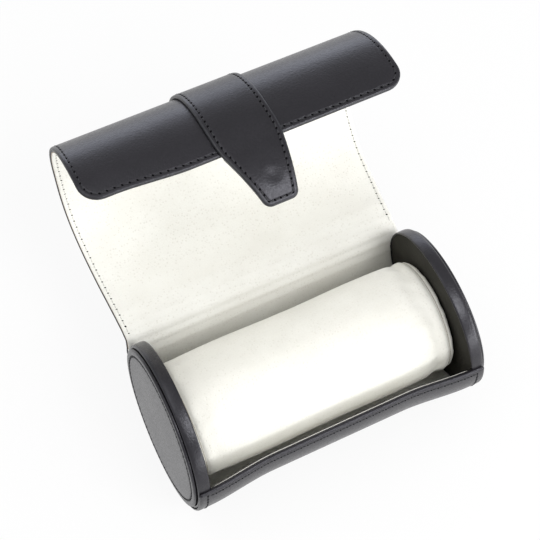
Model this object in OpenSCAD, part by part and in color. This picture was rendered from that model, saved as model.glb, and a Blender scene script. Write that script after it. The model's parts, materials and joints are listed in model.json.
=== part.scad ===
// Two-watch travel roll: a leather tube with padded end caps, a loose cushion
// inside, and a lid that folds back from the trough and wraps round to close.
// Millimetres. X runs along the roll, -Y is the front, Z is up, and the origin
// is the middle of the flat the roll rests on. The lid is drawn folded open.

/* [Roll] */
// Overall length over the two end faces
case_length = 147.6; // [120:0.2:190]
// Radius of the padded end caps
cap_radius = 39.5; // [34:0.5:52]
// Width of the leather band round each cap
cap_width = 6.2; // [4:0.1:12]
// Thickness of the stitched end face on each cap
face_thickness = 1.7; // [1.4:0.1:4]
// How much smaller the end face is than the cap, in radius
face_inset = 1.7; // [0.8:0.1:4]
// Depth of the flat that the roll rests on
flat_depth = 0.8; // [0.4:0.1:2]

/* [Sheet] */
// Thickness of the outer leather
leather = 1.2; // [0.8:0.1:2]
// Thickness of the stiffening board
board = 0.9; // [0.6:0.1:1.6]
// Thickness of the suede lining
lining = 0.6; // [0.4:0.1:1.2]
// Glue line between two layers
glue = 0.05; // [0.02:0.01:0.1]

/* [Trough] */
// Height of the front lip above the cap's centre
lip_height = 6.5; // [0:0.5:14]
// Height of the back edge, where the lid starts, above the cap's centre
back_height = 4.3; // [1:0.1:12]
// Length of the doubled leather where the lid is sewn to the trough
hem_length = 5; // [3:0.5:10]
// Diameter of the magnet under the trough
magnet_d = 10; // [6:0.5:14]
// Thickness of both magnets
magnet_t = 0.7; // [0.5:0.1:0.8]

/* [Lid] */
// Clearance between the closed lid and what it wraps
lid_clearance = 0.35; // [0.3:0.05:1]
// Length of the lid along its curve, from the first fold to the front edge
lid_length = 182; // [150:1:200]
// Distance of each fold from the first one
fold_at = [0, 5, 10, 18, 28, 40];
// Angle each fold lies open, in degrees
fold_open = [40, 44, 31, 14, 5, 2];
// Distance of the flap's fold from the first fold
flap_at = 96; // [80:1:110]
// Angle the flap lies open, in degrees
flap_open = 12; // [10:1:24]
// Clearance left between two stiff pieces at a fold that lies open
fold_clearance = 0.5; // [0.3:0.1:1]
// How far the lid's sides stop short of the end faces
lid_side_margin = 1.3; // [0.8:0.1:6]
// Radius of the lid's two front corners
lid_corner = 9; // [2:0.5:16]

/* [Strap] */
// Width of the strap where it crosses the lid
strap_width = 30; // [22:1:56]
// Width of the tab at its tip
tab_tip_width = 16; // [10:1:24]
// Length of the tab past the lid's front edge
tab_length = 26; // [18:1:34]
// Thickness of the strap
strap_thickness = 1.8; // [1.4:0.1:2.6]
// Distance of the tab's magnet from the tip
tab_magnet_setback = 11; // [8:0.5:14]
// Thickness of the tab's backing, which holds its magnet
tab_backing_t = 1.5; // [1.4:0.1:2.4]
// Angle the tab lies open, in degrees
tab_open = 12; // [6:1:20]
// Angle the tab can be peeled up from there, in degrees
tab_peel = 25; // [10:1:30]
// Distance of the strap's sewn end from the first fold
strap_start = 46; // [42:1:70]

/* [Cushion] */
// Radius of the cushion
cushion_radius = 28; // [20:0.5:30]
// Height of the cushion's centre under the cap's centre
cushion_drop = 2.5; // [0:0.5:6]
// Swell of the cushion's sewn end panels
cushion_crown = 0.8; // [0.2:0.1:3]
// Clearance between the cushion and each cap
cushion_clearance = 0.3; // [0.3:0.1:4]
// Thickness of the cushion's suede cover
cushion_cover_t = 1; // [0.6:0.1:2]

/* [Hidden] */
$fn = 96;
SLACK = 0.1;
face_x = case_length / 2 - face_thickness;
cap_in_x = face_x - cap_width;
sheet_half = face_x - SLACK;
lid_half = case_length / 2 - lid_side_margin;
inside_half = cap_in_x - SLACK;

// Layers of the trough, from the band outwards and inwards.
trough_in = cap_radius + SLACK;
trough_out = trough_in + leather;
trough_board_out = trough_in - glue;
trough_board_in = trough_board_out - board;
trough_lining_out = trough_board_in - glue;
trough_lining_in = trough_lining_out - lining;
axis_z = trough_out - flat_depth;
lip_angle = 180 - asin(lip_height / trough_in);
back_angle = asin(back_height / trough_in);
lip_turn = arc(leather, trough_in);

// Layers of the closed lid. Its circle lies a little to the front and below the
// caps' centre, so it wraps the caps behind and clears the trough's leather in front.
lid_centre = [-0.7, -0.5];
lid_shift_angle = 180 + atan(lid_centre[1] / lid_centre[0]);
lip_relief = norm(lid_centre) * cos(lid_shift_angle - lip_angle);
lid_in = max(trough_out - lip_relief, cap_radius + norm(lid_centre)) + lid_clearance;
lid_lining_out = lid_in + lining;
lid_board_in = lid_lining_out + glue;
lid_board_out = lid_board_in + board;
lid_leather_in = lid_board_out + glue;
lid_out = lid_leather_in + leather;
lid_mid = (lid_in + lid_out) / 2;
lid_end = back_angle + arc(lid_length, lid_mid);
flap_angle = back_angle + arc(flap_at, lid_mid);
trough_end = 360 + back_angle - arc(half_gap(fold_open[0], lid_out), lid_mid);

// Layers of the strap on the closed lid, and the tab past the lid's edge.
strap_in = lid_out + glue;
strap_out = strap_in + strap_thickness;
strap_mid = (strap_in + strap_out) / 2;
tab_leather_in = strap_out - leather;
tab_backing_in = tab_leather_in - glue - tab_backing_t;
tab_gap = fold_clearance + strap_thickness * tan((tab_open + tab_peel) / 2);
tab_fold = lid_end + arc(tab_gap / 2, strap_mid);
tab_end = lid_end + arc(tab_length, strap_mid);
tab_middle = (tab_fold + tab_end) / 2;
magnet_angle = tab_end - arc(tab_magnet_setback, strap_mid);
tab_magnet_in = tab_leather_in - glue - SLACK - magnet_t - bulge(magnet_d, tab_leather_in);

// Angle, in degrees, that a length covers on a circle.
function arc(length, radius) = length / radius * 180 / PI;

// Depth of a circle's arc over a chord.
function bulge(chord, radius) = radius - sqrt(radius ^ 2 - chord ^ 2 / 4);

// Half the gap a fold needs in the closed lid, so that it lies open with its
// clearance. It turns at lid_mid, and reach is its outermost radius.
function half_gap(degrees, reach) = fold_clearance / 2 + (reach - lid_mid) * tan(degrees / 2);

// Sector of the plane between two angles.
module sector(from, to, reach) {
    steps = ceil((to - from) / 45);
    polygon(concat([[0, 0]],
        [for (i = [0:steps]) 2 * reach * [cos(from + (to - from) * i / steps),
                                          sin(from + (to - from) * i / steps)]]));
}

// Turns a section drawn in Y and Z into a solid of that half-length along X.
module along_x(half) {
    rotate([90, 0, 90])
        translate([0, 0, -half])
            linear_extrude(2 * half)
                children();
}

// Circle with the flat that the roll rests on.
module rested_circle(radius) {
    intersection() {
        circle(radius);
        translate([-radius, flat_depth - radius])
            square([2 * radius, 2 * radius]);
    }
}

// Layer of the trough, from one angle to another.
module trough_layer(inner, outer, from, to, half) {
    translate([0, 0, axis_z])
        along_x(half)
            intersection() {
                difference() {
                    rested_circle(outer);
                    rested_circle(inner);
                }
                sector(from, to, outer);
            }
}

module trough_leather() {
    color("#26272b") {
        trough_layer(trough_in, trough_out, lip_angle, trough_end, sheet_half);
        // Doubled leather at the back, where the lid is sewn on.
        lid_layer(lid_in, lid_out, -hem_length, -half_gap(fold_open[0], lid_out), sheet_half);
        // Leather turned in over the front lip, between the caps.
        trough_layer(trough_lining_in, trough_in + SLACK, lip_angle, lip_angle + lip_turn, inside_half);
    }
}

module trough_board() {
    color("#8a7a60")
        difference() {
            trough_layer(trough_board_in, trough_board_out, lip_angle + lip_turn + arc(SLACK, trough_in),
                         360 - back_angle, inside_half);
            cylinder(d = magnet_d + 4 * SLACK, h = axis_z / 2);
        }
}

module trough_lining() {
    color("#efece2")
        trough_layer(trough_lining_in, trough_lining_out, lip_angle + lip_turn + arc(SLACK, trough_in),
                     trough_end, inside_half);
}

module trough_magnet() {
    color("silver")
        translate([0, 0, axis_z - trough_board_out + flat_depth + SLACK / 2])
            cylinder(d = magnet_d, h = magnet_t);
}

// A cap is drawn for the +X end and mirrored for the other.
module cap_side(side) {
    mirror([side < 0 ? 1 : 0, 0, 0])
        translate([0, 0, axis_z])
            children();
}

// Slab of a rested circle between two places along X.
module cap_slab(radius, from, to) {
    translate([(from + to) / 2, 0, 0])
        along_x((to - from) / 2)
            rested_circle(radius);
}

module cap_core(side) {
    color("#8a7a60")
        cap_side(side)
            cap_slab(cap_radius - leather - glue, cap_in_x + lining + glue, face_x);
}

module cap_band(side) {
    color("#1d1e21")
        cap_side(side)
            difference() {
                cap_slab(cap_radius, cap_in_x, face_x);
                cap_slab(cap_radius - leather, cap_in_x - 1, face_x + 1);
            }
}

module cap_lining(side) {
    color("#3a3a34")
        cap_side(side)
            cap_slab(cap_radius - leather - glue, cap_in_x, cap_in_x + lining);
}

module face_board(side) {
    color("#8a7a60")
        cap_side(side)
            translate([face_x + glue, 0, 0])
                rotate([0, 90, 0])
                    cylinder(r = cap_radius - face_inset - leather - glue, h = face_thickness - leather - 2 * glue);
}

module face_leather(side) {
    color("#4b4c50")
        cap_side(side)
            difference() {
                translate([face_x + glue, 0, 0])
                    rotate([0, 90, 0])
                        cylinder(r = cap_radius - face_inset, h = face_thickness - glue);
                translate([face_x, 0, 0])
                    rotate([0, 90, 0])
                        cylinder(r = cap_radius - face_inset - leather, h = face_thickness - leather);
            }
}

module left_cap_core() { cap_core(-1); }
module left_cap_band() { cap_band(-1); }
module left_cap_lining() { cap_lining(-1); }
module left_face_board() { face_board(-1); }
module left_face_leather() { face_leather(-1); }
module right_cap_core() { cap_core(1); }
module right_cap_band() { cap_band(1); }
module right_cap_lining() { cap_lining(1); }
module right_face_board() { face_board(1); }
module right_face_leather() { face_leather(1); }

// The cushion is a suede tube over foam, closed by two sewn, slightly swelled ends.
cushion_half = cap_in_x - cushion_clearance;
cushion_seam_x = cushion_half - cushion_crown;
cushion_z = axis_z - cushion_drop;
cushion_tube_half = cushion_seam_x - cushion_cover_t;

module cushion_rod(radius, half) {
    translate([-half, 0, cushion_z])
        rotate([0, 90, 0])
            cylinder(r = radius, h = 2 * half);
}

module cushion_cover() {
    color("#f1eee5")
        difference() {
            cushion_rod(cushion_radius, cushion_tube_half);
            cushion_rod(cushion_radius - cushion_cover_t, cushion_tube_half + 1);
        }
}

module cushion_foam() {
    color("#d9d2bf")
        cushion_rod(cushion_radius - cushion_cover_t - glue, cushion_tube_half);
}

module cushion_end(side) {
    rings = 12;
    color("#f1eee5")
        mirror([side < 0 ? 1 : 0, 0, 0])
            translate([cushion_tube_half + glue, 0, cushion_z])
                rotate([0, 90, 0])
                    rotate_extrude()
                        polygon(concat([[0, 0], [cushion_radius, 0]],
                            [for (i = [0:rings])
                                let (share = 1 - i / rings)
                                    [cushion_radius * share,
                                     cushion_cover_t - glue + cushion_crown * (1 - share ^ 2)]]));
}

module cushion_end_left() { cushion_end(-1); }
module cushion_end_right() { cushion_end(1); }

// Turns what follows a fold open about that fold's line on the closed lid.
module turn(angle, radius, degrees) {
    line = [0, lid_centre[0] + radius * cos(angle), axis_z + lid_centre[1] + radius * sin(angle)];
    translate(line)
        rotate([-degrees, 0, 0])
            translate(-line)
                children();
}

// Places a piece of the closed lid that follows the folds up to number last.
module opened(last) {
    if (last < 0) {
        children();
    } else {
        opened(last - 1)
            turn(back_angle + arc(fold_at[last], lid_mid), lid_mid, fold_open[last])
                children();
    }
}

module on_flap() {
    opened(last_fold)
        turn(flap_angle, lid_mid, flap_open)
            children();
}

module on_tab() {
    on_flap()
        turn(tab_fold, strap_mid, tab_open)
            children();
}

// Layer of the closed lid between two distances along its curve.
module lid_layer(inner, outer, from, to, half) {
    translate([0, lid_centre[0], axis_z + lid_centre[1]])
        along_x(half)
            intersection() {
                difference() {
                    circle(outer);
                    circle(inner);
                }
                sector(back_angle + arc(from, lid_mid), back_angle + arc(to, lid_mid), outer);
            }
}

// Stretch of the lid between two folds, with half the gap left at each.
module fold_layer(number, inner, outer, half) {
    opened(number - 1)
        lid_layer(inner, outer, fold_at[number - 1] + half_gap(fold_open[number - 1], lid_out),
                  fold_at[number] - half_gap(fold_open[number], lid_out), half);
}

// The folds have no board, so their leather and lining share its room.
fold_leather_in = lid_in + lining + board;
lining_half = lid_half - leather;

module fold_leather(number) {
    color("#26272b")
        fold_layer(number, fold_leather_in, lid_out, lid_half);
}

module fold_lining(number) {
    color("#efece2")
        fold_layer(number, lid_in, fold_leather_in - glue, lining_half);
}

module fold_1_leather() { fold_leather(1); }
module fold_1_lining() { fold_lining(1); }
module fold_2_leather() { fold_leather(2); }
module fold_2_lining() { fold_lining(2); }
module fold_3_leather() { fold_leather(3); }
module fold_3_lining() { fold_lining(3); }
module fold_4_leather() { fold_leather(4); }
module fold_4_lining() { fold_lining(4); }
module fold_5_leather() { fold_leather(5); }
module fold_5_lining() { fold_lining(5); }

last_fold = len(fold_at) - 1;
panel_from = fold_at[last_fold] + half_gap(fold_open[last_fold], lid_out);
panel_to = flap_at - half_gap(flap_open, lid_out);
flap_from = flap_at + half_gap(flap_open, lid_out);

module lid_panel(inner, outer, half, edge) {
    opened(last_fold)
        lid_layer(inner, outer, panel_from + edge, panel_to - edge, half);
}

module lid_leather() {
    color("#26272b")
        lid_panel(lid_leather_in, lid_out, lid_half, 0);
}

module lid_board() {
    color("#8a7a60")
        lid_panel(lid_board_in, lid_board_out, lining_half - leather, leather);
}

module lid_lining() {
    color("#efece2")
        lid_panel(lid_in, lid_lining_out, lining_half, 0);
}

// Outline of the flap round its front corners, seen from straight above them.
module flap_outline(half, radius) {
    difference() {
        translate([-half, -radius])
            square([2 * half, radius + lid_out]);
        for (side = [-1, 1])
            translate([side * (half - radius), 0])
                difference() {
                    translate([side > 0 ? 0 : -2 * radius, -2 * radius])
                        square([2 * radius, 2 * radius]);
                    circle(radius);
                }
    }
}

// Layer of the flap. Its edge is set back from the lid's edge by edge.
module flap_layer(inner, outer, edge, gap_edge) {
    radius = lid_corner - edge;
    on_flap()
        intersection() {
            lid_layer(inner, outer, flap_from + gap_edge, lid_length + lid_corner, lid_half + 1);
            translate([0, lid_centre[0], axis_z + lid_centre[1]])
                rotate([lid_end - arc(lid_corner, lid_mid) - 90, 0, 0])
                    translate([0, 0, -2 * lid_out])
                        linear_extrude(4 * lid_out)
                            flap_outline(lid_half - edge, radius);
        }
}

module flap_leather() {
    color("#26272b")
        flap_layer(lid_leather_in, lid_out, 0, 0);
}

module flap_board() {
    color("#8a7a60")
        flap_layer(lid_board_in, lid_board_out, 2 * leather, leather);
}

module flap_lining() {
    color("#efece2")
        flap_layer(lid_in, lid_lining_out, leather, 0);
}

// The strap is sewn over the lid, and its free end past the lid's edge is the tab.
module strap_back() {
    color("#1f2023")
        opened(last_fold)
            lid_layer(strap_in, strap_out, strap_start, flap_at - half_gap(flap_open, strap_out),
                      strap_width / 2);
}

module strap_front() {
    color("#1f2023")
        on_flap()
            lid_layer(strap_in, strap_out, flap_at + half_gap(flap_open, strap_out), lid_length,
                      strap_width / 2);
}

// Outline of the tab, seen from straight above its middle.
module tab_outline() {
    reach = strap_mid * (tab_end - tab_fold) * PI / 360;
    tip_r = 4;
    hull() {
        translate([-strap_width / 2, reach - 1])
            square([strap_width, 2]);
        for (side = [-1, 1])
            translate([side * (tab_tip_width / 2 - tip_r), tip_r - reach])
                circle(tip_r);
    }
}

module tab_layer(inner, outer) {
    on_tab()
        intersection() {
            translate([0, lid_centre[0], axis_z + lid_centre[1]])
                along_x(strap_width)
                    intersection() {
                        difference() {
                            circle(outer);
                            circle(inner);
                        }
                        sector(tab_fold + arc(tab_gap / 2, strap_mid), tab_end, outer);
                    }
            translate([0, lid_centre[0], axis_z + lid_centre[1]])
                rotate([tab_middle - 90, 0, 0])
                    linear_extrude(2 * strap_out)
                        tab_outline();
        }
}

// Seat and shape of the tab's magnet, which lies over the trough's when closed.
module tab_magnet_shape(diameter, bottom, height) {
    on_tab()
        translate([0, lid_centre[0], axis_z + lid_centre[1]])
            rotate([magnet_angle - 90, 0, 0])
                translate([0, 0, bottom])
                    cylinder(d = diameter, h = height);
}

module tab_leather() {
    color("#1f2023")
        tab_layer(tab_leather_in, strap_out);
}

module tab_backing() {
    color("#17181a")
        difference() {
            tab_layer(tab_backing_in, tab_leather_in - glue);
            tab_magnet_shape(magnet_d + 4 * SLACK, tab_magnet_in - SLACK, strap_out);
        }
}

module tab_magnet() {
    color("silver")
        tab_magnet_shape(magnet_d, tab_magnet_in, magnet_t);
}

trough_leather();
trough_board();
trough_lining();
trough_magnet();
left_cap_core();
left_cap_band();
left_cap_lining();
left_face_board();
left_face_leather();
right_cap_core();
right_cap_band();
right_cap_lining();
right_face_board();
right_face_leather();
cushion_cover();
cushion_foam();
cushion_end_left();
cushion_end_right();
fold_1_leather();
fold_1_lining();
fold_2_leather();
fold_2_lining();
fold_3_leather();
fold_3_lining();
fold_4_leather();
fold_4_lining();
fold_5_leather();
fold_5_lining();
lid_leather();
lid_board();
lid_lining();
strap_back();
flap_leather();
flap_board();
flap_lining();
strap_front();
tab_leather();
tab_backing();
tab_magnet();
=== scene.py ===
"""A two-watch travel roll in black leather and cream suede, with its lid folded back."""
import json
import math

import bpy
import numpy as np
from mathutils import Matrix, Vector
from mathutils.bvhtree import BVHTree


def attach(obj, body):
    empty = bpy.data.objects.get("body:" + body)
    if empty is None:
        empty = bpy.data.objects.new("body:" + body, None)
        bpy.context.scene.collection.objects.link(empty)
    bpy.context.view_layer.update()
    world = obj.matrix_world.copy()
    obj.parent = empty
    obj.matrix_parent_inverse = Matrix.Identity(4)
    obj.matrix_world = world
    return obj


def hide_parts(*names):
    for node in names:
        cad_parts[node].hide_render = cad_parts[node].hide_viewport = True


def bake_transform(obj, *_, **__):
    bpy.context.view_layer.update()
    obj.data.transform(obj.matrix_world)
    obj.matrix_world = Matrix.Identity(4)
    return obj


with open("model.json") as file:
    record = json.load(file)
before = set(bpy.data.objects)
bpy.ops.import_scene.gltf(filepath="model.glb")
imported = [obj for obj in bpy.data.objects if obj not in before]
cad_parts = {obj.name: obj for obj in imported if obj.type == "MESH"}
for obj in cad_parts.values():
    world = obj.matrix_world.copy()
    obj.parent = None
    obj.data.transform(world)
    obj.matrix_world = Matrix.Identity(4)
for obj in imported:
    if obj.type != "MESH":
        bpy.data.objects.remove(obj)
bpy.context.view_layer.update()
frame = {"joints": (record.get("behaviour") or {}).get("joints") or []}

mm = 0.001

# ---------------------------------------------------------------- Studio
# The roll stands on a plain pale sweep in a bright room. A softbox over its front
# is the main light, and wide low boxes behind and beside it give the leather its
# long soft highlights.
view_turn = math.radians(-25.99)
view_tilt = math.radians(60.07)
camera_data = bpy.data.cameras.new("camera")
camera_data.lens = 91.04
camera_data.sensor_width = 36
camera = bpy.data.objects.new("camera", camera_data)
camera.location = (-136.26 * mm, -242.42 * mm, 609.54 * mm)
camera.rotation_euler = (math.pi / 2 - view_tilt, 0, view_turn)
bpy.context.scene.collection.objects.link(camera)
bpy.context.scene.camera = camera
bpy.context.scene.view_settings.view_transform = "Standard"


def softbox(name, place, aim, width, height, power, colour=(1, 1, 1)):
    data = bpy.data.lights.new(name, "AREA")
    data.color = colour
    data.shape = "RECTANGLE"
    data.size, data.size_y = width, height
    data.energy = power
    lamp = bpy.data.objects.new(name, data)
    lamp.location = place
    lamp.rotation_euler = (Vector(aim) - Vector(place)).to_track_quat("-Z", "Y").to_euler()
    bpy.context.scene.collection.objects.link(lamp)


roll_middle = (0, 0.01, 0.06)
softbox("key_box", (0.27, -0.59, 0.89), roll_middle, 0.45, 0.45, 4.7)
softbox("overhead", (-0.35, 0.1, 1.0), roll_middle, 0.8, 0.6, 1.9)
softbox("back_box", (0.35, 1.1, 0.2), roll_middle, 1.4, 0.4, 3, (0.80, 0.85, 1.0))
softbox("right_box", (0.95, -0.75, 0.22), roll_middle, 0.6, 0.36, 4)
softbox("front_box", (0.45, -1.05, 0.12), roll_middle, 0.9, 0.24, 4)


class Wire:
    """A shader socket that works in Python expressions and makes the nodes behind them."""

    def __init__(self, tree, socket=None):
        self.tree, self.socket = tree, socket

    def node(self, kind, inputs, settings=None, out=0):
        made = self.tree.nodes.new(kind)
        for name, value in (settings or {}).items():
            if name == "stops":
                ramp = made.color_ramp.elements
                while len(ramp) < len(value):
                    ramp.new(0.5)
                for element, (place, colour) in zip(ramp, value):
                    element.position, element.color = place, colour
            else:
                setattr(made, name, value)
        for name, value in inputs.items():
            if isinstance(value, Wire):
                self.tree.links.new(value.socket, made.inputs[name])
            else:
                made.inputs[name].default_value = value
        return Wire(self.tree, made.outputs[out])

    def maths(self, operation, *values):
        return self.node("ShaderNodeMath", dict(enumerate(values)), {"operation": operation})

    def __add__(self, other):
        return self.maths("ADD", self, other)

    def __sub__(self, other):
        return self.maths("SUBTRACT", self, other)

    def __rsub__(self, other):
        return self.maths("SUBTRACT", other, self)

    def __mul__(self, other):
        return self.maths("MULTIPLY", self, other)

    __radd__, __rmul__ = __add__, __mul__

    def between(self, low, high):
        """0 below low, 1 above high, and smooth between them."""
        return self.node("ShaderNodeMapRange", {"Value": self, "From Min": low, "From Max": high},
                         {"interpolation_type": "SMOOTHSTEP"})

    def mix(self, first, second):
        """first where this wire is 0 and second where it is 1, both colours."""
        return self.node("ShaderNodeMix", {0: self, 6: first, 7: second}, {"data_type": "RGBA"}, 2)


def new_material(name, roughness, settings):
    """A material, a wire to build it with, and its Principled node with plain values set."""
    material = bpy.data.materials.new(name)
    material.use_nodes = True
    shader = material.node_tree.nodes["Principled BSDF"]
    shader.inputs["Roughness"].default_value = roughness
    for socket, value in settings.items():
        shader.inputs[socket].default_value = value
    return material, Wire(material.node_tree), shader


def plug(wire, socket):
    wire.tree.links.new(wire.socket, socket)


def rgb(red, green, blue):
    return (red, green, blue, 1)


world = bpy.data.worlds.new("studio")
world.use_nodes = True
bpy.context.scene.world = world
sky = Wire(world.node_tree)
background = world.node_tree.nodes["Background"]
fill_level = 0.61
seen = sky.node("ShaderNodeLightPath", {}, out="Is Camera Ray")
plug(seen.mix(rgb(fill_level, fill_level, fill_level), rgb(1, 1, 1)), background.inputs["Color"])

floor_mesh = bpy.data.meshes.new("floor")
floor_half = 3.0
floor_mesh.from_pydata([(-floor_half, -floor_half, 0), (floor_half, -floor_half, 0),
                        (floor_half, floor_half, 0), (-floor_half, floor_half, 0)], [], [(0, 1, 2, 3)])
floor = bpy.data.objects.new("floor", floor_mesh)
bpy.context.scene.collection.objects.link(floor)
pale, wire, shader = new_material("pale_sweep", 0.9, {"Base Color": rgb(0.9, 0.9, 0.9)})
white_share = 0.88
glow = wire.node("ShaderNodeEmission", {"Color": rgb(1, 1, 1), "Strength": 1.0})
seen = wire.node("ShaderNodeLightPath", {}, out="Is Camera Ray")
mirrored = wire.node("ShaderNodeLightPath", {}, out="Is Glossy Ray")
spot = wire.node("ShaderNodeTexCoord", {}, out="Object")
from_roll = wire.node("ShaderNodeVectorMath", {0: spot}, {"operation": "LENGTH"}, "Value")
seen = seen * (from_roll.between(0.25, 0.9) * (1 - white_share) + white_share) + mirrored
both = wire.node("ShaderNodeMixShader", {0: seen, 1: Wire(wire.tree, shader.outputs[0]), 2: glow})
plug(both, pale.node_tree.nodes["Material Output"].inputs["Surface"])
floor_mesh.materials.append(pale)

# ---------------------------------------------------------------- Run of the sheet
# One long sheet makes the roll: it starts at the trough's front lip, goes under
# and up the back, and becomes the lid. It is glued up from leather, board and
# suede, and it folds where the lid leaves the trough, so every layer is laid
# out here by its length and then bent to the folds that the lid rests at.
tab_fold = 182.6 * mm
fold_place = np.append(np.array([0, 5, 10, 18, 28, 40, 96]) * mm, tab_fold)
fold_open = np.radians([40, 44, 31, 14, 5, 2, 12, 12])
fold_reach = np.array([2.3, 2.3, 2.4, 3.8, 4.8, 5.8, 14, 4.5]) * mm
fold_bodies = ["trough", "fold_1", "fold_2", "fold_3", "fold_4", "fold_5", "lid", "flap", "tab"]
fold_joints = ["lid_fold_1", "lid_fold_2", "lid_fold_3", "lid_fold_4", "lid_fold_5", "lid_fold_6",
               "flap_wrap", "tab_flex"]
span_ends = np.array([-6, 2.5, 7.5, 14, 23, 34, 68]) * mm
strap_cut = 139 * mm

axis_height = 40 * mm
lid_axis = complex(-0.7 * mm, 39.5 * mm)
lid_radius = 42.11 * mm
trough_radius = 39.4 * mm
first_fold_angle = math.radians(6.234)
lip_angle = math.radians(170.553)
lip_place = -(2 * math.pi + first_fold_angle - lip_angle) * lid_radius
lid_end = 182 * mm
sheet_top = 1.4 * mm
lean_share = 0.844
lid_extra = 1.55 * mm

joints = {joint["name"]: joint for joint in frame["joints"]}
fold_lines = [complex(*joints[name]["pos_m"][1:]) for name in fold_joints]


def smooth(share):
    share = np.clip(share, 0, 1)
    return share * share * (3 - 2 * share)


def closed_run(along):
    """Middle of the sheet when the roll is closed, as y + iz, at a length from the first fold."""
    turn = np.exp(1j * (first_fold_angle + along / lid_radius))
    trough = 1j * axis_height + trough_radius * turn
    lowest = axis_height - trough_radius + 0.8 * mm
    trough = trough.real + 1j * np.maximum(trough.imag, lowest)
    on_lid = smooth((along + 8 * mm) / (10 * mm))
    return (1 - on_lid) * trough + on_lid * (lid_axis + lid_radius * turn)


def opened(point, folds):
    """Where a point of the closed sheet lies once that many folds are open."""
    for line, angle in list(zip(fold_lines, fold_open))[:folds]:
        point = line + (point - line) * np.exp(-1j * angle)
    return point


def run(along, folds=7):
    """Middle of the sheet as the roll stands, lid open. The strap bends at an eighth fold too."""
    flat = closed_run(along)
    place = flat.copy()
    starts = np.concatenate([[-9], span_ends[1:], [strap_cut] * (folds - 7), [9]])
    for fold in range(folds):
        here = (along >= starts[fold]) & (along < starts[fold + 1])
        share = smooth((along - fold_place[fold] + fold_reach[fold]) / (2 * fold_reach[fold]))
        bent = (1 - share) * opened(flat, fold) + share * opened(flat, fold + 1)
        place = np.where(here, bent, place)
    return place


def leaned(points):
    """The caps and the trough lean in towards the top, because the lid's pull has closed them up."""
    points = np.array(points, float)
    points[..., 0] *= 1 - lean_share * (points[..., 2] - axis_height)
    return points


def lid_drift(along):
    """The lid lies a little to the right of the trough once it is clear of its root."""
    return lid_extra * smooth((along - 4 * mm) / (34 * mm)) - 0.5 * mm * smooth(along / (40 * mm))


def front_skew(across, along):
    """The lid is cut a little short at its left front corner."""
    return 2.2 * mm * smooth((-across - 26 * mm) / (36 * mm)) * smooth((along - 100 * mm) / (70 * mm))


def on_sheet(flat, folds=7):
    """Places points given as across, along and out of the sheet. The trough's lip sags in its middle."""
    across, along, out = np.moveaxis(np.asarray(flat, float), -1, 0)
    along = along - front_skew(across, along)
    step = 0.3 * mm
    ahead = run(along + step, folds) - run(along - step, folds)
    near_lip = smooth((-along - 82 * mm) / (46 * mm))
    sag = 2.8 * mm * near_lip * smooth((67 * mm - np.abs(across)) / (34 * mm))
    place = run(along, folds) - 1j * ahead / np.abs(ahead) * (out - sag)
    points = np.stack([across, place.real, place.imag], -1)
    on_trough = smooth(-along / (10 * mm))[..., None]
    points = points + (leaned(points) - points) * on_trough
    points[..., 0] += lid_drift(along)
    return points


# ---------------------------------------------------------------- Leather of the trough and lid
# Black full-grain leather over thin board, cut in one width from lip to lid. Its
# edges are turned and painted, its front corners are rounded, and a groove for
# the thread is pressed in all round the lid. It bends at the folds by the lid's root.
leather, wire, shader = new_material("black_leather", 0.42, {
    "Specular IOR Level": 0.5, "Specular Tint": rgb(0.90, 0.905, 1.0), "Coat Weight": 0.1,
    "Coat Roughness": 0.25})
spot = wire.node("ShaderNodeTexCoord", {}, out="Object")


def leather_finish(wire, spot, shader, dark, light, grain_depth):
    """Colour, shine and grain of finished leather on a Principled shader."""
    cloud = wire.node("ShaderNodeTexNoise", {"Vector": spot, "Scale": 38.0, "Detail": 3.0}, out="Fac")
    speck = wire.node("ShaderNodeTexNoise", {"Vector": spot, "Scale": 900.0, "Detail": 2.0}, out="Fac")
    plug((cloud * 0.6 + speck * 0.4).between(0.3, 0.7).mix(dark, light), shader.inputs["Base Color"])
    cells = wire.node("ShaderNodeTexVoronoi", {"Vector": spot, "Scale": 1300.0, "Randomness": 1.0},
                      {"feature": "SMOOTH_F1"}, "Distance")
    plug(cloud * 0.1 + cells * 0.2 + 0.22, shader.inputs["Roughness"])
    creases = wire.node("ShaderNodeTexNoise", {"Vector": spot, "Scale": 420.0, "Detail": 4.0}, out="Fac")
    height = cells * 0.8 + creases * 0.5
    bump = wire.node("ShaderNodeBump", {"Height": height, "Distance": grain_depth, "Strength": 0.5},
                     out="Normal")
    plug(bump, shader.inputs["Normal"])


leather_finish(wire, spot, shader, rgb(0.0060, 0.0051, 0.0066), rgb(0.0115, 0.0101, 0.0128), 0.0002)

painted_edge, wire, shader = new_material("painted_edge", 0.4, {})
spot = wire.node("ShaderNodeTexCoord", {}, out="Object")
brushed = wire.node("ShaderNodeTexNoise", {"Vector": spot, "Scale": 260.0, "Detail": 2.0}, out="Fac")
plug(brushed.between(0.35, 0.65).mix(rgb(0.014, 0.0145, 0.018), rgb(0.026, 0.027, 0.033)),
     shader.inputs["Base Color"])
plug(brushed * 0.2 + 0.3, shader.inputs["Roughness"])
plug(wire.node("ShaderNodeBump", {"Height": brushed, "Distance": 0.0001, "Strength": 0.4}, out="Normal"),
     shader.inputs["Normal"])


corner_points = 9


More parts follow.
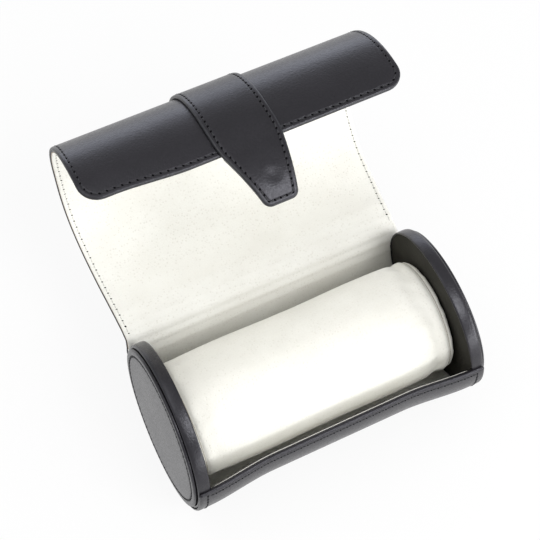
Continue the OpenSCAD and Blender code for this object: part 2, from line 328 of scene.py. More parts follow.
def cut_line(half, stations, start_round, tip_round, straight=True):
    """Right-hand edge of a cut sheet: its points as across and along, and their outward directions.
    The direction is square to the sheet's length, or to its edge where the sides aren't straight."""
    stations = np.asarray(stations, float)
    nudge = 0.01 * mm

    def slope(along):
        return (half(along + nudge) - half(along - nudge)) / (2 * nudge)

    corners = []
    for side, end, radius in ((-1, stations[0], start_round), (1, stations[-1], tip_round)):
        middle = end - side * radius
        tilt = math.atan(-side * slope(middle))
        centre = half(middle) - radius / math.cos(tilt)
        sweep = np.linspace(tilt, math.pi / 2, corner_points)
        points = np.stack([centre + radius * np.cos(sweep), middle + side * radius * np.sin(sweep)], -1)
        corners.append((points, np.stack([np.cos(sweep), side * np.sin(sweep)], -1)))
    first, last = corners[0][0][0, 1], corners[1][0][0, 1]
    along = stations[(stations > first + 0.2 * mm) & (stations < last - 0.2 * mm)]
    tilt = np.arctan(-slope(along)) * (not straight)
    points = np.stack([half(along), along], -1)
    normals = np.stack([np.cos(tilt), np.sin(tilt)], -1)
    return (np.concatenate([corners[0][0][::-1], points, corners[1][0]]),
            np.concatenate([corners[0][1][::-1], normals, corners[1][1]]))


def slab(edge, columns, layers):
    """A sheet with thickness and worked edges, flat: rings of points across, along and out, with its two
    end patches, its faces, and each face's row and layer. layers are (inset, out) from outside to inside,
    each a number or one value a row."""
    points, normals = edge
    rows, count, last = len(points), len(columns), len(layers) - 1
    inset = np.array([np.broadcast_to(layer[0], rows) for layer in layers], float)
    out = np.array([np.broadcast_to(layer[1], rows) for layer in layers], float)
    side = points[None] - inset[..., None] * normals[None]

    def strip(layer, row_slice, shares):
        across = side[layer, row_slice, 0][:, None] * shares
        along = np.broadcast_to(side[layer, row_slice, 1][:, None], across.shape)
        return np.stack([across, along, np.broadcast_to(out[layer, row_slice][:, None], across.shape)], -1)

    every = slice(None)
    right = [strip(layer, every, np.ones(1)) for layer in range(1, last)]
    left = [strip(layer, every, -np.ones(1)) for layer in range(last - 1, 0, -1)]
    rings = np.concatenate([strip(0, every, columns), *right, strip(last, every, columns[::-1]), *left], 1)
    around = rings.shape[1]
    ring_layers = np.concatenate([np.full(count - 1, -1), np.arange(last), np.full(count - 1, -1),
                                  np.arange(last)[::-1]])
    flat = [rings.reshape(-1, 3)]
    row, place = np.meshgrid(np.arange(rows - 1), np.arange(around), indexing="ij")
    after = (place + 1) % around
    faces = [np.stack([row * around + place, (row + 1) * around + place,
                       (row + 1) * around + after, row * around + after], -1).reshape(-1, 4)]
    face_rows = [row.reshape(-1)]
    face_layers = [np.broadcast_to(ring_layers, row.shape).reshape(-1)]
    used = rows * around
    for at, turned in ((0, False), (rows - 1, True)):
        grid = np.empty((last + 1, count), int)
        grid[0] = at * around + np.arange(count)
        grid[last] = at * around + count + last - 1 + np.arange(count)[::-1]
        for layer in range(1, last):
            grid[layer, -1] = at * around + count - 1 + layer
            grid[layer, 0] = at * around + around - layer
            grid[layer, 1:-1] = used + np.arange(count - 2)
            flat.append(strip(layer, slice(at, at + 1), columns[1:-1])[0])
            used += count - 2
        corners = [grid[:-1, :-1], grid[1:, :-1], grid[1:, 1:], grid[:-1, 1:]]
        patch = np.stack(corners if turned else corners[::-1], -1).reshape(-1, 4)
        faces.append(patch)
        face_rows.append(np.full(len(patch), min(at, rows - 2)))
        face_layers.append(np.repeat(np.arange(last), count - 1))
    return (np.concatenate(flat), np.concatenate(faces), np.concatenate(face_rows),
            np.concatenate(face_layers), around)


def new_piece(name, points, faces, materials, slots=None, normals=None):
    """A mesh object, smooth, with a material for each face and, if given, a normal for each corner."""
    mesh = bpy.data.meshes.new(name)
    mesh.from_pydata(np.asarray(points).tolist(), [], [[int(v) for v in face] for face in faces])
    mesh.polygons.foreach_set("use_smooth", [True] * len(mesh.polygons))
    for material in materials:
        mesh.materials.append(material)
    if slots is not None:
        mesh.polygons.foreach_set("material_index", [int(slot) for slot in slots])
    if normals is not None:
        mesh.normals_split_custom_set([tuple(normal) for normal in normals])
    obj = bpy.data.objects.new(name, mesh)
    bpy.context.scene.collection.objects.link(obj)
    return obj


def cut_at(name, made, placed, cuts, materials, slots):
    """Cuts a placed slab at lengths along it, closes the cuts, and keeps its shading whole across them."""
    flat, faces, face_rows, _, around = made
    corner = placed[faces]
    flow = np.cross(corner[:, 2] - corner[:, 0], corner[:, 3] - corner[:, 1])
    normal = np.zeros_like(placed)
    for place in range(4):
        np.add.at(normal, faces[:, place], flow)
    normal /= np.linalg.norm(normal, axis=1)[:, None]
    rows = face_rows.max() + 2
    row_along = flat[:rows * around:around, 1]
    ends = [0] + [int(np.argmin(np.abs(row_along - cut))) for cut in cuts] + [rows - 1]
    found = []
    for number, (start, stop) in enumerate(zip(ends[:-1], ends[1:])):
        mine = (face_rows >= start) & (face_rows < stop)
        polygons = [list(face) for face in faces[mine]]
        corner_normals = [normal[v] for face in polygons for v in face]
        polygon_slots = list(slots[mine])
        for at, turned in ((start, False), (stop, True)):
            if 0 < at < rows - 1:
                ring = list(range(at * around, (at + 1) * around))
                ring = ring[::-1] if turned else ring
                polygons.append(ring)
                polygon_slots.append(0)
                ahead = placed[(at + 1) * around] - placed[(at - 1) * around]
                ahead *= (1 if turned else -1) / np.linalg.norm(ahead)
                corner_normals += [ahead] * around
        used, renumbered = np.unique([v for face in polygons for v in face], return_inverse=True)
        take = iter(renumbered.tolist())
        polygons = [[next(take) for _ in face] for face in polygons]
        found.append(new_piece(f"{name}_{number + 1}", placed[used], polygons, materials,
                               polygon_slots, corner_normals))
    return found


def hold_to_sheet(obj, span, folds=7):
    """Rides on the trough before the first fold; past it, the piece is only fixed where it lies."""
    if span == 0:
        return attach(obj, "trough")
    reach = fold_reach[span - 1]
    ends = [on_sheet([0, fold_place[span - 1] + way * reach, 0], folds) for way in (-1, 1)]
    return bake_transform(obj, fold_bodies[span - 1], fold_bodies[span], ends[0], ends[1])


def spread(*stretches):
    """Lengths along the sheet in stretches of (start, stop, step), with every cut among them."""
    found = [np.arange(start, stop - step / 2, step) for start, stop, step in stretches]
    found = np.concatenate(found + [[stretches[-1][1]]])
    for cut in span_ends:
        found[np.argmin(np.abs(found - cut))] = cut
    return found


def sheet_half(along):
    """It is drawn in a little where it leaves the caps, and widens again up the lid."""
    waist = 1.2 * mm * smooth((along + 3 * mm) / (8 * mm)) - 1.7 * mm * smooth((along - 22 * mm) / (55 * mm))
    return 72.0 * mm - waist + lid_extra * smooth((along - 4 * mm) / (34 * mm))


lid_corner = 9 * mm
lip_corner = 1.5 * mm
groove_inset = 2.35 * mm
between_caps = 65.9 * mm
stations = spread((lip_place, -10 * mm, 2.2 * mm), (-10 * mm, 46 * mm, 0.7 * mm), (46 * mm, lid_end, 2 * mm))
edge = cut_line(sheet_half, stations, lip_corner, lid_corner)
row_along = edge[0][:, 1]
squeeze = 1 - 0.83 * smooth((lip_place + 8 * mm - row_along) / (5 * mm))
groove = 0.22 * mm * smooth((row_along - 1 * mm) / (5 * mm))


def from_edge(inset):
    return 1.0 * mm + (inset - 1.0 * mm) * squeeze


turned_in = 0.7 * mm * (1 - smooth((row_along - lip_place - 1.6 * mm) / (1.2 * mm)))
layers = [
    (from_edge(groove_inset + 0.8 * mm), sheet_top),
    (from_edge(groove_inset + 0.35 * mm), sheet_top - 0.55 * groove),
    (from_edge(groove_inset), sheet_top - groove),
    (from_edge(groove_inset - 0.35 * mm), sheet_top - 0.55 * groove),
    (from_edge(groove_inset - 0.8 * mm), sheet_top),
    (1.0 * mm, sheet_top - 0.04 * mm),
    (0.5 * mm, sheet_top - 0.2 * mm),
    (0.15 * mm, 0.92 * mm),
    (0, 0.6 * mm),
    (0, 0.2 * mm - 0.5 * turned_in),
    (0.1 * mm, -0.02 * mm - 0.85 * turned_in),
    (0.4 * mm, -0.15 * mm - turned_in),
]
inside_share = np.array([65.75, 66.05]) / 71.6
columns = np.concatenate([np.linspace(0, 0.88, 20), inside_share, [1]])
columns = np.concatenate([-columns[:0:-1], columns])
made = slab(edge, columns, layers)
flat = made[0]
over_band = (np.abs(flat[:, 0]) > between_caps) & (flat[:, 1] < -3 * mm) & (flat[:, 2] < 0.25 * mm)
flat[over_band, 2] = 0.25 * mm
slots = (made[3] >= 6) & (flat[made[1][:, 0], 1] > 0)
stands_for = [
    ["trough_leather", "trough_board", "trough_magnet"],
    ["fold_1_leather"], ["fold_2_leather"], ["fold_3_leather"], ["fold_4_leather"], ["fold_5_leather"],
    ["lid_leather", "lid_board"], ["flap_leather", "flap_board"],
]
leather_pieces = cut_at("leather", made, on_sheet(flat), span_ends, [leather, painted_edge], slots)
for span, piece in enumerate(leather_pieces):
    hold_to_sheet(piece, span)
    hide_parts(*stands_for[span])

# ---------------------------------------------------------------- Suede lining
# Cream pigskin suede, laid over the board. In the trough it fits between the
# caps, and on the lid it widens to stop just short of the painted edge, where the
# raw side of the suede shows as a thin tan line.
suede, wire, shader = new_material("cream_suede", 0.9, {"Sheen Weight": 0.25, "Sheen Roughness": 0.5})
spot = wire.node("ShaderNodeTexCoord", {}, out="Object")


def suede_finish(wire, spot, shader, deep, pale, pore_colour, pore_strength):
    """Brushed nap with soft clouds of shade, and small pores scattered over it."""
    cloud = wire.node("ShaderNodeTexNoise", {"Vector": spot, "Scale": 45.0, "Detail": 4.0}, out="Fac")
    nap = wire.node("ShaderNodeTexNoise", {"Vector": spot, "Scale": 1400.0, "Detail": 2.0}, out="Fac")
    near = wire.node("ShaderNodeTexVoronoi", {"Vector": spot, "Scale": 640.0, "Randomness": 0.7},
                     out="Distance")
    patchy = wire.node("ShaderNodeTexNoise", {"Vector": spot, "Scale": 160.0}, out="Fac")
    pores = (1 - near.between(0.12, 0.36)) * patchy.between(0.22, 0.52)
    shade = (cloud * 0.7 + nap * 0.3).between(0.32, 0.68).mix(deep, pale)
    plug((pores * pore_strength).mix(shade, pore_colour), shader.inputs["Base Color"])
    height = nap * 0.5 + cloud * 0.3 - pores * 0.6
    plug(wire.node("ShaderNodeBump", {"Height": height, "Distance": 0.00022, "Strength": 0.5}, out="Normal"),
         shader.inputs["Normal"])


suede_finish(wire, spot, shader, rgb(0.815, 0.805, 0.755), rgb(0.87, 0.865, 0.82), rgb(0.66, 0.64, 0.58), 0.4)
raw_edge, wire, shader = new_material("raw_suede_edge", 0.85, {})
fibre = wire.node("ShaderNodeTexNoise", {"Scale": 900.0, "Detail": 3.0}, out="Fac")
plug(fibre.between(0.3, 0.7).mix(rgb(0.42, 0.33, 0.25), rgb(0.60, 0.50, 0.40)), shader.inputs["Base Color"])
bump = wire.node("ShaderNodeBump", {"Height": fibre, "Distance": 0.0001}, out="Normal")
plug(bump, shader.inputs["Normal"])


def lining_half(along):
    on_lid = smooth((along + 4 * mm) / (3 * mm))
    return between_caps + (sheet_half(along) - 0.35 * mm - between_caps) * on_lid


lining_start = lip_place + 0.5 * mm
stations = spread((lining_start, -10 * mm, 2.2 * mm), (-10 * mm, 46 * mm, 0.7 * mm),
                  (46 * mm, lid_end - 0.55 * mm, 2 * mm))
edge = cut_line(lining_half, stations, 3.2 * mm, 8.45 * mm)
dent = 0.12 * mm * smooth((edge[0][:, 1] - 4 * mm) / (3 * mm))
layers = [
    (0.1 * mm, -0.13 * mm), (0, -0.3 * mm), (0, -0.75 * mm), (0.1 * mm, -1.15 * mm), (0.4 * mm, -1.38 * mm),
    (1.0 * mm, -1.42 * mm), (1.95 * mm, -1.42 * mm), (2.45 * mm, -1.42 * mm + dent), (2.95 * mm, -1.42 * mm),
]
made = slab(edge, np.linspace(-1, 1, 41), layers)
on_lid = made[0][made[1][:, 0], 1] > 0
slots = np.select([on_lid & (made[3] == 2), on_lid & (made[3] >= 0) & (made[3] < 2)], [1, 2], 0)
stands_for = [
    ["trough_lining"], ["fold_1_lining"], ["fold_2_lining"], ["fold_3_lining"], ["fold_4_lining"],
    ["fold_5_lining"], ["lid_lining"], ["flap_lining"],
]
lining_pieces = cut_at("lining", made, on_sheet(made[0]), span_ends, [suede, raw_edge, painted_edge], slots)
for span, piece in enumerate(lining_pieces):
    hold_to_sheet(piece, span)
    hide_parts(*stands_for[span])

# ---------------------------------------------------------------- Stitching of the sheet
# Waxed black thread, sewn by machine about eight to the inch. On the leather
# each stitch lies in the pressed groove and dives at both ends into its needle
# hole. On the suede side the bobbin thread is pale. Every needle hole is a
# near-black patch, painted shade for the dark inside of the hole.
thread, wire, shader = new_material("black_thread", 0.55, {"Specular IOR Level": 0.45})
twist = wire.node("ShaderNodeTexNoise", {"Scale": 1200.0}, out="Fac")
plug(twist.between(0.3, 0.7).mix(rgb(0.012, 0.012, 0.014), rgb(0.034, 0.035, 0.040)),
     shader.inputs["Base Color"])
pale_thread, wire, shader = new_material("pale_thread", 0.7, {})
twist = wire.node("ShaderNodeTexNoise", {"Scale": 1200.0}, out="Fac")
plug(twist.between(0.3, 0.7).mix(rgb(0.50, 0.49, 0.46), rgb(0.68, 0.67, 0.63)), shader.inputs["Base Color"])
# Painted shade: the holes' near-black colour, with almost no shine, stands for the shade inside each needle
# hole.
needle_hole_shade, wire, shader = new_material("needle_hole_shade", 0.95, {"Specular IOR Level": 0.05})
hole_shade_mottle = wire.node("ShaderNodeTexNoise", {"Scale": 900.0}, out="Fac")
plug(hole_shade_mottle.mix(rgb(0.002, 0.002, 0.0025), rgb(0.006, 0.006, 0.007)), shader.inputs["Base Color"])

bead_shares = (-0.97, -0.75, -0.35, 0.0, 0.35, 0.75, 0.97)
bead_sides = 8
bead_points = len(bead_shares) * bead_sides
stitch_slant = 0.13


def bead(centre, ahead, length, width, height, sink, lift):
    """One stitch or hole, flat: a rounded bar along a direction, with ends that dip below the surface."""
    ahead = ahead / np.hypot(*ahead)
    beside = np.array([-ahead[1], ahead[0]])
    turn = np.linspace(0, 2 * math.pi, bead_sides, endpoint=False)
    points = []
    for share in bead_shares:
        fat = math.sqrt(1 - share * share)
        across = np.outer(np.cos(turn) * width / 2 * fat, beside) + ahead * length / 2 * share + centre
        rise = lift + (np.sin(turn) * height / 2 * fat - sink * share * share)
        points.append(np.column_stack([across, rise]))
    return np.concatenate(points)


def bead_faces():
    faces = [list(range(bead_sides)), list(range(bead_points))[:-bead_sides - 1:-1]]
    for here in range(0, bead_points - bead_sides, bead_sides):
        beyond = here + bead_sides
        for side in range(bead_sides):
            after = (side + 1) % bead_sides
            faces.append([here + side, beyond + side, beyond + after, here + after])
    return faces


def even_steps(path, pitch):
    """Points spaced evenly along a path of flat points, and the path's direction at each."""
    path = np.asarray(path, float)
    gone = np.concatenate([[0], np.cumsum(np.hypot(*np.diff(path, axis=0).T))])
    count = int(round(gone[-1] / pitch))
    at = (np.arange(count) + 0.5) * gone[-1] / count
    spots = np.stack([np.interp(at, gone, path[:, 0]), np.interp(at, gone, path[:, 1])], -1)
    back = np.stack([np.interp(at - 0.3 * pitch, gone, path[:, axis]) for axis in (0, 1)], -1)
    fore = np.stack([np.interp(at + 0.3 * pitch, gone, path[:, axis]) for axis in (0, 1)], -1)
    return spots, fore - back


def sewn(spots, ahead, pitch, thick, surface, side, slant):
    """Flat points of a run of stitches and of the holes between them, one array for each. The holes carry the
    painted shade of the needle holes.
    """
    found = []
    for spot, way in zip(spots, ahead):
        turned = np.array([way[0] - slant * way[1], way[1] + slant * way[0]])
        stitch = bead(spot, turned, 0.86 * pitch, thick, thick, 0.5 * thick, 0.12 * thick)
        hole = bead(spot + way / np.hypot(*way) * pitch / 2, np.array([-way[1], way[0]]) + 0.6 * way,
                    2.5 * thick, 1.7 * thick, 0.4 * thick, 0.0, 0.08 * thick)
        stitch[:, 2] = surface + side * stitch[:, 2]
        hole[:, 2] = surface + side * hole[:, 2]
        found.append((stitch, hole))
    return found


def stitch_piece(name, beads, place, materials, flipped):
    """One object of many stitches, placed on its surface."""
    points = np.concatenate([part for pair in beads for part in pair])
    faces, slots = [], []
    for number in range(2 * len(beads)):
        for face in bead_faces():
            face = [v + bead_points * number for v in face]
            faces.append(face[::-1] if flipped else face)
            slots.append(number % 2)
    return new_piece(name, place(points), faces, materials, slots)


lid_side = cut_line(sheet_half, np.append(np.arange(0, lid_end, 2 * mm), lid_end), 0.01 * mm, lid_corner)
lid_side = (lid_side[0] - groove_inset * lid_side[1])[corner_points:]
trough_side = np.array([[69.3 * mm, -0.5 * mm], [68.1 * mm, -9 * mm], [68.1 * mm, lip_place + 3.0 * mm]])
loop = np.concatenate([trough_side[::-1], lid_side, lid_side[::-1] * [-1, 1], trough_side * [-1, 1],
                       trough_side[-1:]])
pitch, thread_thick = 3.3 * mm, 0.48 * mm
spots, ahead = even_steps(loop, pitch)
off_base = on_sheet(np.column_stack([spots, np.full(len(spots), sheet_top)]))[:, 2] > 0.7 * mm
span_of = np.searchsorted(span_ends, spots[:, 1])
surface = sheet_top - 0.16 * mm * smooth((spots[:, 1] - 1 * mm) / (5 * mm))
for span in range(len(span_ends) + 1):
    mine = off_base & (span_of == span)
    beads = [sewn([spot], [way], pitch, thread_thick, level, 1, stitch_slant)[0]
             for spot, way, level in zip(spots[mine], ahead[mine], surface[mine])]
    piece = stitch_piece(f"stitching_{span + 1}", beads, on_sheet, [thread, needle_hole_shade], True)
    hold_to_sheet(piece, span)
    mine = (span_of == span) & (spots[:, 1] > 7 * mm)
    if mine.any():
        beads = sewn(spots[mine], ahead[mine], pitch, 0.42 * mm, -1.34 * mm, -1, -0.05)
        piece = stitch_piece(f"bobbin_stitching_{span + 1}", beads, on_sheet,
                             [pale_thread, needle_hole_shade], False)
        hold_to_sheet(piece, span)

# ---------------------------------------------------------------- Strap and tab
# A leather strap, sewn down round the middle of the lid. Past the lid's edge it
# narrows into a free tab with a doubled back and a small magnet sewn in, which
# shows as a shallow dimple near the tip. The magnet is the roll's only catch.
strap_leather, wire, shader = new_material("strap_leather", 0.42, {
    "Specular IOR Level": 0.5, "Specular Tint": rgb(0.90, 0.905, 1.0), "Coat Weight": 0.02,
    "Coat Roughness": 0.25})
spot = wire.node("ShaderNodeTexCoord", {}, out="Object")
leather_finish(wire, spot, shader, rgb(0.0068, 0.0060, 0.0073), rgb(0.0130, 0.0117, 0.0140), 0.00016)
strap_start, strap_tip = 46 * mm, 208.6 * mm
taper_from = 180 * mm
strap_top = 3.25 * mm
strap_pitch = 2.75 * mm


def strap_half(along):
    taper = 7.6 * mm / (strap_tip - taper_from)
    past = along - taper_from
    eased = np.where(np.abs(past) < 5 * mm, (past + 5 * mm) ** 2 / (20 * mm), np.maximum(past, 0))
    return 14.9 * mm - taper * eased


stations = np.concatenate([np.arange(strap_start, strap_cut, 1.5 * mm),
                           np.arange(strap_cut, strap_tip, 1.0 * mm), [strap_tip]])
stations[np.argmin(np.abs(stations - strap_cut))] = strap_cut
edge = cut_line(strap_half, stations, 3 * mm, 3.8 * mm, False)
below = 1.45 * mm - 0.75 * mm * smooth((edge[0][:, 1] - tab_fold - 0.3 * mm) / (1.2 * mm))
strap_groove = 2.2 * mm
layers = [
    (2.9 * mm, strap_top), (2.5 * mm, strap_top - 0.1 * mm), (strap_groove, strap_top - 0.17 * mm),
    (1.9 * mm, strap_top - 0.1 * mm), (1.5 * mm, strap_top), (0.8 * mm, strap_top - 0.03 * mm),
    (0.35 * mm, strap_top - 0.16 * mm), (0.08 * mm, strap_top - 0.45 * mm), (0, strap_top - 0.85 * mm),
    (0.05 * mm, below + 0.4 * mm), (0.3 * mm, below + 0.06 * mm), (0.8 * mm, below),
]
made = slab(edge, np.linspace(-1, 1, 27), layers)
flat = made[0]
from_magnet = np.hypot(flat[:, 0] - 0.8 * mm, flat[:, 1] - (strap_tip - 11.5 * mm))
dimple = 0.34 * np.exp(-(from_magnet / (2.3 * mm)) ** 2)
dimple -= 0.09 * np.exp(-((from_magnet - 4.6 * mm) / (1.6 * mm)) ** 2)
flat[:, 2] -= np.where(flat[:, 2] > 2.9 * mm, dimple * mm, 0)


def on_strap(points):
    """On the sheet, at the strap's slight slant: it was sewn down a little off square."""
    points = np.array(points, float)
    slant = 2.8 * mm * smooth((points[:, 1] - 165 * mm) / (46 * mm))
    points[:, 0] += 0.1 * mm + slant - lid_drift(points[:, 1])
    return on_sheet(points, 8)


slots = (made[3] >= 5).astype(int)
strap_pieces = cut_at("strap", made, on_strap(flat), [strap_cut], [strap_leather, painted_edge], slots)
stands_for = [["strap_back", "strap_front"], ["tab_leather", "tab_backing", "tab_magnet"]]
for span, piece in zip((7, 8), strap_pieces):
    hold_to_sheet(piece, span, 8)
    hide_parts(*stands_for[span - 7])
side = (edge[0] - strap_groove * edge[1])[corner_points:]
loop = np.concatenate([side, side[::-1] * [-1, 1], side[:1]])
spots, ahead = even_steps(loop, strap_pitch)
for span, mine in ((7, spots[:, 1] < strap_cut), (8, spots[:, 1] >= strap_cut)):
    beads = sewn(spots[mine], ahead[mine], strap_pitch, 0.54 * mm, strap_top - 0.13 * mm, 1, stitch_slant)
    piece = stitch_piece(f"strap_stitching_{span - 6}", beads, on_strap, [thread, needle_hole_shade], True)
    hold_to_sheet(piece, span, 8)

# ---------------------------------------------------------------- End caps
# Two round end caps close the trough. Each is a leather-covered drum with a
# crowned band. Its inner face is dark microsuede, and a stitched leather disc
# over board is glued to its outer face, a little smaller than the band.
microsuede, wire, shader = new_material("dark_microsuede", 0.95, {"Specular IOR Level": 0.2})
spot = wire.node("ShaderNodeTexCoord", {}, out="Object")
suede_finish(wire, spot, shader, rgb(0.026, 0.0245, 0.0195), rgb(0.042, 0.040, 0.033),
             rgb(0.015, 0.0145, 0.012), 0.3)


def turned_piece(name, profile, side, materials, low=None):
    """A round piece about the roll's axis: profile is (x, radius) from its middle, out and back to it."""
    profile = np.array(profile, float) * mm
    count = 160
    angle = np.arange(count) * 2 * math.pi / count
    rings = np.array([[(side * x, radius * math.cos(turn), radius * math.sin(turn)) for turn in angle]
                      for x, radius in profile[1:-1]])
    middles = [[side * profile[0, 0], 0, 0], [side * profile[-1, 0], 0, 0]]
    points = np.concatenate([rings.reshape(-1, 3), middles])
    if low is not None:
        points[:, 2] = np.maximum(points[:, 2], low)
    points[:, 2] += axis_height
    faces, last = [], len(rings) - 1
    for place in range(count):
        after = (place + 1) % count
        for ring in range(last):
            faces.append([ring * count + place, ring * count + after,
                          (ring + 1) * count + after, (ring + 1) * count + place])
        faces.append([len(points) - 2, after, place])
        faces.append([last * count + place, last * count + after, len(points) - 1])
    if side > 0:
        faces = [face[::-1] for face in faces]
    return new_piece(name, leaned(points), faces, materials)


band_profile = [
    (66.7, 0), (66.7, 38.2), (66.45, 38.5), (66.08, 38.58), (65.92, 38.8), (65.95, 39.08), (66.15, 39.28),
    (66.55, 39.4), (67.3, 39.46), (68.6, 39.5), (70.0, 39.48), (70.9, 39.4), (71.5, 39.22), (71.88, 38.9),
    (71.98, 38.5), (71.85, 38.1), (71.5, 37.7), (70.9, 37.3), (70.9, 0),
]
inner_profile = [
    (67.1, 0), (67.1, 38.1), (66.75, 38.42), (66.5, 38.4), (66.4, 38.2), (66.36, 37.6), (66.35, 20),
    (66.34, 0),
]
face_profile = [
    (71.2, 0), (71.2, 36.9), (71.6, 37.35), (72.05, 37.75), (72.55, 37.98), (73.0, 37.95), (73.35, 37.7),
    (73.5, 37.2), (73.54, 36.4), (73.53, 35.6), (73.5, 35.25), (73.42, 35.0), (73.39, 34.7), (73.42, 34.4),
    (73.5, 34.15), (73.56, 33.8), (73.62, 31), (73.68, 26), (73.74, 18), (73.78, 9), (73.8, 0),
]
cap_flat = -38.75 * mm
cap_stitches, sewn_radius = 70, 34.7 * mm
step = 2 * math.pi * sewn_radius / cap_stitches
spots = np.column_stack([np.arange(cap_stitches) * step, np.zeros(cap_stitches)])
ahead = np.tile([1.0, 0.0], (cap_stitches, 1))
for name, side in (("left", -1), ("right", 1)):
    band = turned_piece(f"{name}_band", band_profile, side, [leather], cap_flat)
    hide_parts(f"{name}_cap_core", f"{name}_cap_band")
    inner = turned_piece(f"{name}_inner_face", inner_profile, side, [microsuede])
    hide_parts(f"{name}_cap_lining")
    face = turned_piece(f"{name}_face", face_profile, side, [leather])
    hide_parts(f"{name}_face_board", f"{name}_face_leather")

    def on_face(points):
        turn = points[:, 0] / sewn_radius
        radius = sewn_radius + points[:, 1]
        x = side * (73.4 * mm + points[:, 2])
        return leaned(np.column_stack([x, radius * np.cos(turn), axis_height + radius * np.sin(turn)]))

    beads = sewn(spots, ahead, step, 0.62 * mm, 0.06 * mm, 1, stitch_slant)
    rim_thread = stitch_piece(f"{name}_face_stitching", beads, on_face, [thread, needle_hole_shade], side < 0)
    for piece in (band, inner, face, rim_thread):
        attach(piece, "trough")

# ---------------------------------------------------------------- Cushion
# A round bolster for two watch straps: soft foam in a cream suede cover, with a
# round panel sewn into each end. It rests loose in the trough and turns freely.
# The cover is blown up as cloth from a slightly smaller form, then seamed.
# Along each seam a darker ring lies in the groove: partly the seam's thread, partly painted shade of the
# crease.
cushion_suede, wire, shader = new_material("cushion_suede", 0.9, {
    "Sheen Weight": 0.25, "Sheen Roughness": 0.5})
spot = wire.node("ShaderNodeTexCoord", {}, out="Object")
suede_finish(wire, spot, shader, rgb(0.80, 0.79, 0.73), rgb(0.86, 0.85, 0.795), rgb(0.62, 0.59, 0.51), 0.2)
cushion_radius, cushion_height = 28 * mm, 37.5 * mm
seam_place = 61.9 * mm


def cushion_form():
    """The unfilled cover: a drum with softly rounded ends."""
    profile = [(-64.9, 0), (-64.85, 12), (-64.7, 20), (-64.5, 24), (-64.2, 26.2), (-63.5, 27.5),
               (-62.4, 27.8)]
    profile += [(-61, 27.6), (-57, 27.6)]
    profile += [(x, 27.6 - 0.3 * math.cos(x * 0.09)) for x in range(-48, 49, 8)]
    profile += [(-x, radius) for x, radius in profile[8::-1]]
    count = 96
    points, faces = [], []
    for x, radius in profile[1:-1]:
        for place in range(count):
            turn = 2 * math.pi * place / count
            points.append((x * mm, radius * mm * math.cos(turn), radius * mm * math.sin(turn)))
    points += [(profile[0][0] * mm, 0, 0), (profile[-1][0] * mm, 0, 0)]
    last = len(profile) - 3
    for place in range(count):
        after = (place + 1) % count
        for ring in range(last):
            faces.append([ring * count + place, (ring + 1) * count + place,
                          (ring + 1) * count + after, ring * count + after])
        faces.append([len(points) - 2, place, after])
        faces.append([last * count + place, len(points) - 1, last * count + after])
    return points, faces


def taken(obj):
    """The mesh that an object's modifiers make, as its own points."""
    graph = bpy.context.evaluated_depsgraph_get()
    mesh = bpy.data.meshes.new_from_object(obj.evaluated_get(graph))
    obj.modifiers.clear()
    obj.data = mesh
    return np.array([vertex.co for vertex in mesh.vertices])


points, faces = cushion_form()
cushion = new_piece("cushion", points, faces, [cushion_suede])
remesh = cushion.modifiers.new("even", "REMESH")
remesh.mode, remesh.voxel_size = "VOXEL", 3.2 * mm
before = taken(cushion)
seam = cushion.vertex_groups.new(name="seam")
for number, point in enumerate(before):
    held = math.exp(-((abs(point[0]) - seam_place) / (1.6 * mm)) ** 2)
    held *= 1 if math.hypot(point[1], point[2]) > 22 * mm else 0
    if held > 0.05:
        seam.add([number], held, "REPLACE")
filling_frames = 20
cloth = cushion.modifiers.new("filled", "CLOTH")
cloth.settings.quality = 6
cloth.settings.mass = 0.3
cloth.settings.tension_stiffness = 18
cloth.settings.compression_stiffness = 12
cloth.settings.bending_stiffness = 1.5
cloth.settings.use_pressure = True
cloth.settings.uniform_pressure_force = 4
cloth.settings.shrink_min = -0.008
cloth.settings.vertex_group_mass = "seam"
cloth.settings.effector_weights.gravity = 0
for number in range(1, filling_frames + 1):
    bpy.context.scene.frame_set(number)
after = taken(cushion)
bpy.context.scene.frame_set(1)
moved = after - before
far = np.linalg.norm(moved, axis=1)
limit = 1.5 * mm
after = before + moved * np.minimum(1, limit / np.maximum(far, 1e-9))[:, None]
cushion.data.vertices.foreach_set("co", after.reshape(-1))
finer = cushion.modifiers.new("finer", "SUBSURF")
finer.levels = finer.render_levels = 2
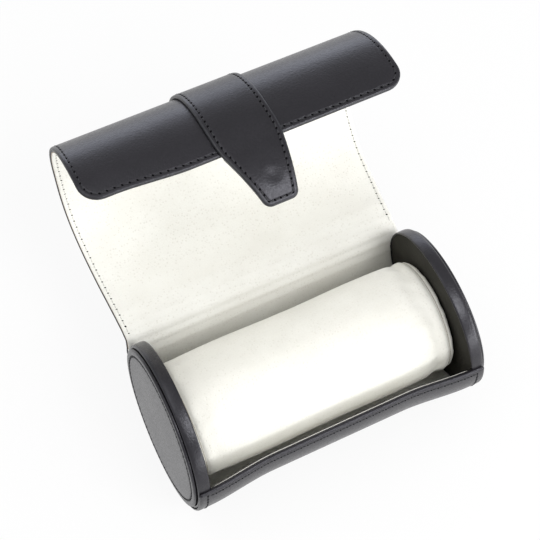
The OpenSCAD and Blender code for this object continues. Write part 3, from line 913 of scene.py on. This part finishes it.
points = taken(cushion)
around = np.hypot(points[:, 1], points[:, 2])
from_seam = np.abs(points[:, 0]) - seam_place
in_seam = 0.5 * mm * np.exp(-(from_seam / (0.8 * mm)) ** 2) * smooth((around - 20 * mm) / (4 * mm))
wanted = np.minimum(around, cushion_radius + 0.5 * mm) - in_seam
points[:, 1:] *= (wanted / np.maximum(around, 1e-6))[:, None]
longest = 64.75 * mm + 0.75 * mm * (1 - smooth((around - 12 * mm) / (14 * mm)))
points[:, 0] = np.clip(points[:, 0], -longest, longest)
points[:, 2] += cushion_height
cushion.data.vertices.foreach_set("co", points.reshape(-1))
cushion.data.polygons.foreach_set("use_smooth", [True] * len(cushion.data.polygons))
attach(cushion, "cushion")
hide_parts("cushion_cover", "cushion_foam", "cushion_end_left", "cushion_end_right")

# Partly painted shade: this brownish-grey ring stands for the seam's thread and also for the shade in the
# crease along it.
seam_thread_and_shade, wire, shader = new_material("seam_thread_and_shade", 0.8, {})
twist = wire.node("ShaderNodeTexNoise", {"Scale": 1500.0}, out="Fac")
plug(twist.between(0.3, 0.7).mix(rgb(0.30, 0.27, 0.22), rgb(0.52, 0.49, 0.42)), shader.inputs["Base Color"])
graph = bpy.context.evaluated_depsgraph_get()
cover = BVHTree.FromObject(cushion, graph)
for name, side in (("left", -1), ("right", 1)):
    count, rings = 8, 220
    points, faces = [], []
    for ring in range(rings):
        turn = 2 * math.pi * ring / rings
        way = Vector((0, math.cos(turn), math.sin(turn)))
        middle = Vector((side * seam_place, 0, cushion_height))
        hit = cover.ray_cast(middle + way * 0.05, -way)[0]
        reach = (hit - middle).length - 0.02 * mm + 0.05 * mm * math.sin(ring * 2.9)
        for place in range(count):
            round_ = 2 * math.pi * place / count
            spot = middle + way * (reach + 0.2 * mm * math.cos(round_))
            points.append(spot + Vector((0.2 * mm * math.sin(round_), 0, 0)))
            after = (place + 1) % count
            beyond = (ring + 1) % rings
            faces.append([ring * count + place, ring * count + after,
                          beyond * count + after, beyond * count + place])
    seam_ring = new_piece(f"cushion_seam_{name}", points, faces, [seam_thread_and_shade])
    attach(seam_ring, "cushion")
